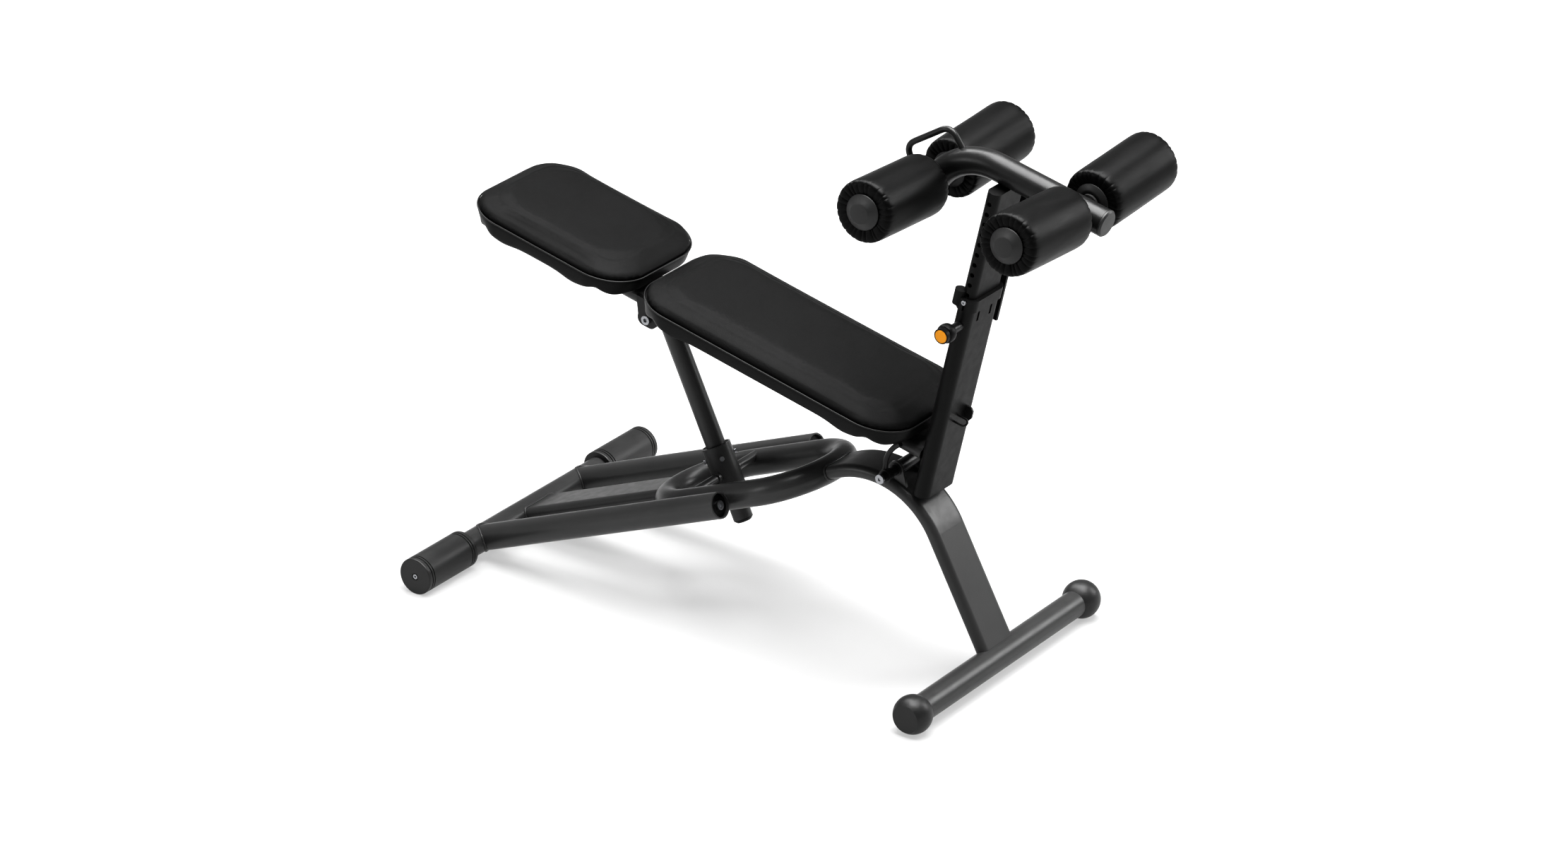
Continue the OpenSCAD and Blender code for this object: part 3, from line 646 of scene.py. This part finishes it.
def pan(name, node, pad_node, lean, rear_out=0.0, front_in=0.0):
    """Moulded pan: a rim with a waved lower edge, a bottom that runs in, and a rolled lip that is a
    piece of its own. Its rear end leans in by the lean, in mm."""
    low, high = extent(node, BENCH)
    full = (high.z - low.z) / MM
    half_l, half_w, _ = plan(pad_node, rear_out, front_in)
    _, _, middle = plan(node, rear_out, front_in)
    place = BENCH @ Matrix.Translation((middle, (low.y + high.y) / 2, high.z))
    loop = outline(half_l, half_w, CORNER, 3.0)
    rings = []
    for inset, share, wave in PAN_ROWS:
        ring = []
        for x, y, nx, ny, _ in loop:
            from_end = half_l - abs(x)
            at_side = smooth_step(half_w - 40, half_w - 4, abs(y))
            dip, notch, lobe = (
                depth * bell(from_end, centre, width)
                for centre, depth, width in (PAN_DIP, PAN_NOTCH, PAN_LOBE)
            )
            lower = wave * (at_side * (dip + notch) + lobe)
            d = inset + lean * max(0, -nx) ** 2 * smooth_step(0.03, 0.5, share)
            ring.append(((x - nx * d) * MM, (y - ny * d) * MM, -(share * full + lower) * MM))
        rings.append(ring)
    shell = Shell()
    shell.rings(rings)
    piece(name, shell, "bench", "black_plastic", place, stands_for=(node,))
    # the cover is tucked behind the lip
    lip = Shell()
    path = [
        Vector(((x + nx * LIP_OUT) * MM, (y + ny * LIP_OUT) * MM, LIP_HEIGHT * MM))
        for x, y, nx, ny, _ in loop
    ]
    lip.tube(path, LIP_RADIUS * MM, 12)
    piece(name + "_lip", lip, "bench", "black_paint", place)


# both ends of the rear pad sit a little further back than its CAD solid's, in mm
rear_shift = {"rear_out": 3.5, "front_in": 7.0}
pan("rear_pad_pan", "rear_pad_shell", "rear_pad", 12, **rear_shift)
pan("front_pad_pan", "front_pad_shell", "front_pad", 4)
cushion("rear_cushion", "rear_pad", 3.1, **rear_shift)
cushion("front_cushion", "front_pad", 7.7)


# ---- leg rollers ----

# pleats round each end of a foam cover, and the widths of a fold and of the slope to it, in radians
FOLDS, FOLD_WIDTH, FOLD_SLOPE = 26, 0.016, 0.055
# radius, and distance in from the end, of the foam's end, in mm on a foam of END_RADIUS
END = ((16.5, 10), (22, 6.5), (28, 3.8), (33, 2), (37, 1.1), (41, 0.5), (45, 0.2), (48.5, 0.3))
END += ((51.4, 1), (53.6, 2.2), (55.2, 3.9), (56.3, 6.2), (57, 9.2), (57.4, 14))
END_RADIUS = 57.5
# radius, and height over the foam's outer end, of the outer hub's face from its middle outwards
OUTER_HUB = ((0, 11.5), (17.4, 11.5), (18.4, 11.3), (19.2, 10.8), (21, 9.4), (25, 6.3), (29, 3.3))
OUTER_HUB += ((31.6, 1.5), (32.6, 0.7), (33, -0.2), (32.8, -1.2), (31.5, -2.4), (20, -2.6))
OUTER_HUB += ((0, -2.6),)
# radius, and height over the foam's inner end, round the inner hub
INNER_HUB = ((16.1, -5), (22.6, -5), (23.8, -4.7), (32.6, -0.7), (33.6, 0.2), (33.6, 1.4))
INNER_HUB += ((32, 2.4), (16.1, 3.4))
HUB_BORE = 12.07  # radius


def leg_roller(spot, seed):
    """Foam sleeve whose cover is gathered in pleats over both ends, and its hubs and their bush."""
    node, hub_node, body = spot + "_foam", spot + "_hubs", spot + "_leg_roller"
    joint = spot + "_roller_spin"
    place = along(joints[joint]["axis"], Vector(joints[joint]["pos_m"]))
    low, high = extent(node, place)
    place = place @ Matrix.Translation((0, 0, low.z)) @ Matrix.Scale(MM, 4)
    length, radius = (high.z - low.z) / MM, (high.x - low.x) / 2 / MM
    rng = random.Random(seed)
    angles = sorted((TAU * (i + rng.uniform(-0.28, 0.28)) / FOLDS) for i in range(FOLDS))
    depths = [rng.uniform(0.55, 1.0) for _ in angles]

    def fold(a):
        """Depth of the pleats at an angle, about 1 in a fold, and the swell between them."""
        best, total = math.pi, 0.0
        for centre, depth in zip(angles, depths):
            d = abs((a - centre + math.pi) % TAU - math.pi)
            best = min(best, d)
            total += depth * bell(d, 0, FOLD_WIDTH) + 0.3 * depth * bell(d, 0, FOLD_SLOPE)
        return total, min(1.0, best / 0.11)

    cache = {}

    def move(r, h, a):
        if a not in cache:
            cache[a] = fold(a)
        deep, swell = cache[a]
        near = min(h, length - h)
        on_end = smooth_step(16, 2, near) if r > 17 else 0.0
        in_fold = on_end * smooth_step(16, 26, r)
        across = smooth_step(radius * 0.97, radius * 0.75, r)
        on_cover = Vector((math.cos(a) * 1.3, math.sin(a) * 1.3, h * 0.012 + seed))
        low_wave = 0.35 * noise.noise(on_cover)
        rr = r + low_wave - in_fold * (1 - across) * (1.0 * deep - 0.3 * swell)
        push = in_fold * (1.3 * deep - 0.4 * swell) * (0.35 + 0.65 * across)
        hh = h + (push if h < length / 2 else -push)
        return rr, hh

    scale = radius / END_RADIUS
    near_end = [(r * scale, h) for r, h in END]
    rows = 24
    barrel = [(radius + 0.1, 20 + (length - 40) * i / rows) for i in range(rows + 1)]
    far_end = [(r, length - h) for r, h in reversed(near_end)]
    foam = Shell()
    foam.lathe(near_end + barrel + far_end, 300, move)
    sleeve = piece(spot + "_foam_cover", foam, body, "foam_cover", place, stands_for=(node,))

    hub = Shell()
    hub.lathe([(r, length + h) for r, h in OUTER_HUB], 96)
    bush = [(HUB_BORE, -4.9), (15.4, -4.9), (15.9, -4.4), (15.9, length - 4)]
    hub.lathe(bush + [(HUB_BORE, length - 4)], 72)
    hub.lathe(INNER_HUB, 96)
    piece(spot + "_hubs_cover", hub, body, "grey_plastic", place, stands_for=(hub_node,))


for i, spot in enumerate(("rear_left", "rear_right", "front_left", "front_right")):
    leg_roller(spot, seed=11 + i)


# ---- floor rollers ----

# how far in from the radius, and from the end, over the roller's soft edge, in mm
SOFT_EDGE = ((3, 0), (2.2, 0), (0.7, 0.6), (0, 2), (0, 2.6))
# radius, and depth from the outer end, of the recess and hole for the screw, in mm
RECESS = ((8.6, 0), (8, 0), (6.9, 0.5), (6.4, 1.2), (6.4, 4), (3.4, 4), (3.4, 11.5))
BORE_GAP = 0.25  # between the foot bar and the roller's bore
# offset along the roller and depth, across one groove, in mm
GROOVE = ((-2.2, 0), (-1.5, 0), (-1, 0.4), (-0.8, 1.7), (0.8, 1.7), (1, 0.4), (1.5, 0), (2.2, 0))
GROOVE_SPOTS = (10, 16)  # from the roller's end to each groove's middle
SHARP = math.radians(35)  # edges sharper than this aren't shaded smooth


def floor_roller(name, side):
    """Turned roller with two grooves near each end, a soft edge, the bar's bore and the screw's
    recess. Side is 1 on the left and -1 on the right."""
    node, body = name + "_rear_roller", name + "_floor_roller"
    place = along((0, side, 0), Vector(joints[body + "_spin"]["pos_m"]))
    low, high = extent(node, place)
    place = place @ Matrix.Translation((0, 0, low.z)) @ Matrix.Scale(MM, 4)
    length, radius = (high.z - low.z) / MM, (high.x - low.x) / 2 / MM
    bore = (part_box("rear_foot_bar")[1].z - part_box("rear_foot_bar")[0].z) / 2 / MM + BORE_GAP
    points = [(bore, 0)] + [(radius - inward, h) for inward, h in SOFT_EDGE]
    for spot in (*GROOVE_SPOTS, *(length - d for d in reversed(GROOVE_SPOTS))):
        points += [(radius - depth, spot + offset) for offset, depth in GROOVE]
    points += [(radius - inward, length - h) for inward, h in reversed(SOFT_EDGE)]
    points += [(r, length - h) for r, h in RECESS]
    points.append((bore, length - RECESS[-1][1]))
    shell = Shell()
    shell.lathe(points, 144)
    tyre = piece(node + "_tyre", shell, body, "grey_plastic", place, stands_for=(node,))
    tyre.data.set_sharp_from_angle(angle=SHARP)


floor_roller("left", 1)
floor_roller("right", -1)


# ---- handle ----


def bent(corners, radius, step):
    """Path through corners with each one rounded off, in about equal steps."""
    path = [corners[0].copy()]
    for before, corner, after in zip(corners, corners[1:], corners[2:]):
        reach_in = min(radius, (before - corner).length * 0.49)
        reach_out = min(radius, (after - corner).length * 0.49)
        a = corner + (before - corner).normalized() * reach_in
        b = corner + (after - corner).normalized() * reach_out
        for i in range(9):
            t = i / 8
            path.append(a * (1 - t) ** 2 + corner * (2 * t * (1 - t)) + b * t * t)
    path.append(corners[-1].copy())
    even = [path[0]]
    for a, b in zip(path, path[1:]):
        n = max(1, round((b - a).length / step))
        even += [a.lerp(b, (i + 1) / n) for i in range(n)]
    return even


# x and z of the handle's ends and corners in the bench frame, and its sizes, in mm
HANDLE = ((-36, 648), (-71, 680), (-151, 601), (-104, 552))
HANDLE_RADIUS, HANDLE_BEND, HANDLE_STEP = 5.8, 24, 3

rod = Shell()
corners = [Vector((x, z, 0)) for x, z in HANDLE]
bends = bent(corners, HANDLE_BEND, HANDLE_STEP)
path = [BENCH @ Vector((p.x * MM, 0, p.y * MM)) for p in bends]
rod.tube(path, HANDLE_RADIUS * MM, 20, closed=False)
piece("grab_handle", rod, "post", "black_paint", stands_for=("handle",))


# ---- welds ----

# the bead's radius, the step between its points and its distance off the surfaces, in mm
WELD_BEAD, WELD_STEP, WELD_OFF = 2.3, 1.6, 0.3
# how much the bead swells, and the length of one swell, in m
WELD_RIPPLE, WELD_PITCH = 0.22, 0.0045
WELD_REACH = 0.3  # how far ahead of a tube's section the other part may be, in m

trees = {}


def surface(node):
    """Search tree over a CAD node's faces, made once."""
    if node not in trees:
        data = nodes[node].data
        trees[node] = BVHTree.FromPolygons(
            [v.co.copy() for v in data.vertices], [list(p.vertices) for p in data.polygons]
        )
    return trees[node]


def section(place, half_w, half_t, count):
    """Points and outward directions round the section of an oval tube that is wide along local Y
    and runs along local X."""
    flat, half_turn = half_w - half_t, math.pi * half_t
    perimeter = 4 * flat + 2 * half_turn
    points = []
    for i in range(count):
        run = perimeter * i / count
        if run < 2 * flat:
            y, z, ny, nz = run - flat, half_t, 0.0, 1.0
        elif run < 2 * flat + half_turn:
            a = math.pi / 2 - (run - 2 * flat) / half_t
            ny, nz = math.cos(a), math.sin(a)
            y, z = flat + half_t * ny, half_t * nz
        elif run < 4 * flat + half_turn:
            y, z, ny, nz = 3 * flat + half_turn - run, -half_t, 0.0, -1.0
        else:
            a = -math.pi / 2 - (run - 4 * flat - half_turn) / half_t
            ny, nz = math.cos(a), math.sin(a)
            y, z = half_t * ny - flat, half_t * nz
        outward = (place.to_3x3() @ Vector((0, ny, nz))).normalized()
        points.append((place @ Vector((0, y * MM, z * MM)), outward))
    return points


def weld(shell, place, half_w, half_t, target):
    """Bead where a tube that runs along the place's local X meets another part."""
    count = int((4 * (half_w - half_t) + TAU * half_t) / WELD_STEP)
    forward = (place.to_3x3() @ Vector((1, 0, 0))).normalized()
    off = WELD_OFF * MM
    path = []
    for spot, outward in section(place, half_w, half_t, count):
        hit = surface(target).ray_cast(spot + outward * off, forward, WELD_REACH)
        if hit[0] is not None:
            path.append(hit[0] + outward * off - forward * off)
    if len(path) < count * 0.9:
        raise RuntimeError(f"the weld on {target} found {len(path)} of {count} points")
    shell.tube(path, WELD_BEAD * MM, 10, True, WELD_RIPPLE, WELD_PITCH)


def at(place, x, turn=0.0, y=0.0):
    """A spot x along and y across a frame, in mm, turned about its own Y."""
    return place @ Matrix.Translation((x * MM, y * MM, 0)) @ Matrix.Rotation(turn, 4, "Y")


# slope of the base's long tubes up from the rear bar
RISE = math.radians(21.8)
# along that slope from the rear bar's middle, in mm: where the rays to each weld start
BAR_WELDS, RING_WELD_REAR, RING_WELD_FRONT = 120, 300, 795
OVAL_HALF_T = 13.0

rear_axle = Vector(joints["left_floor_roller_spin"]["pos_m"])
rear_axle.y = 0
SLOPE = axes(
    rear_axle,
    Vector((math.cos(RISE), 0, math.sin(RISE))),
    Vector((0, 1, 0)),
    Vector((-math.sin(RISE), 0, math.cos(RISE))),
)
bar_low, bar_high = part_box("rear_foot_bar")
tube_r = (bar_high.z - bar_low.z) / 2 / MM
side_low, side_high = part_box("left_side_tube")
side_y = (side_low.y + side_high.y) / 2 / MM
oval_low, oval_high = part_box("middle_tube")
oval_half_w = (oval_high.y - oval_low.y) / 2 / MM

beads = Shell()
for side in (-1, 1):
    weld(beads, at(SLOPE, BAR_WELDS, math.pi, side * side_y), tube_r, tube_r, "rear_foot_bar")
weld(beads, at(SLOPE, BAR_WELDS, math.pi), oval_half_w, OVAL_HALF_T, "rear_foot_bar")
weld(beads, at(SLOPE, RING_WELD_REAR), oval_half_w, OVAL_HALF_T, "ring_tube")
weld(beads, at(SLOPE, RING_WELD_FRONT, math.pi), oval_half_w, OVAL_HALF_T, "ring_tube")
piece("base_welds", beads, "base", "frame_paint")


# ---- floor, light and camera ----

FLOOR_SIZE = 40  # half its side, in m
FLOOR_TONE = 0.3  # low, so that little light comes back up; the painted glow makes it pale
WORLD_STRENGTH = 0.22
# place, aim, width and height in m, and power in W
LIGHTS = {
    "overhead": ((0.45, 0.25, 3.4), (0, 0, 0.3), 2.8, 2.6, 215),
    "back_right": ((2.6, 3.0, 2.2), (0.2, 0, 0.5), 1.4, 2.2, 60),
    "overhead_left": ((-2.1, 0.7, 3.3), (-0.3, 0, 0.3), 1.2, 2.0, 60),
    "left_front": ((-2.6, -3.6, 2.0), (0, 0, 0.4), 1.4, 1.6, 26),
}
EXPOSURE = 0.1
# the photograph's viewing direction, from its tubes and circles
AZIMUTH, ELEVATION = math.radians(35.11), math.radians(24.98)
CAMERA_AIM, CAMERA_DISTANCE = Vector((-0.0219, -0.01231, 0.37987)), 10.663
LENS, SENSOR = 133.24, 36


def floor():
    mesh = bpy.data.meshes.new("studio_floor")
    bm = bmesh.new()
    bmesh.ops.create_grid(bm, x_segments=8, y_segments=8, size=FLOOR_SIZE)
    bm.to_mesh(mesh)
    bm.free()
    obj = bpy.data.objects.new("studio_floor", mesh)
    bpy.context.scene.collection.objects.link(obj)
    mesh.materials.append(floor_paint("studio_floor", FLOOR_TONE))


def aimed(obj, spot, direction):
    """Puts a light or camera in the scene, looking in a direction."""
    obj.location = spot
    obj.rotation_mode = "QUATERNION"
    obj.rotation_quaternion = direction.to_track_quat("-Z", "Y")
    bpy.context.scene.collection.objects.link(obj)


def softbox(name, spot, aim, width, height, watts):
    light = bpy.data.lights.new(name, "AREA")
    light.shape = "RECTANGLE"
    light.size, light.size_y = width, height
    light.energy = watts
    aimed(bpy.data.objects.new(name, light), spot, aim - spot)


floor()
scene = bpy.context.scene
world = bpy.data.worlds.new("studio")
world.use_nodes = True
background = world.node_tree.nodes["Background"]
background.inputs["Color"].default_value = (1, 1, 1, 1)
background.inputs["Strength"].default_value = WORLD_STRENGTH
scene.world = world
for name, (spot, aim, width, height, watts) in LIGHTS.items():
    softbox(name, Vector(spot), Vector(aim), width, height, watts)
scene.view_settings.view_transform = "Standard"
scene.view_settings.look = "High Contrast"
scene.view_settings.exposure = EXPOSURE

back = Vector(
    (
        math.sin(AZIMUTH) * math.cos(ELEVATION),
        -math.cos(AZIMUTH) * math.cos(ELEVATION),
        math.sin(ELEVATION),
    )
)
camera = bpy.data.cameras.new("camera")
camera.sensor_width = SENSOR
camera.lens = LENS
camera.clip_start, camera.clip_end = 0.1, 200
viewer = bpy.data.objects.new("camera", camera)
aimed(viewer, CAMERA_AIM + back * CAMERA_DISTANCE, -back)
scene.camera = viewer
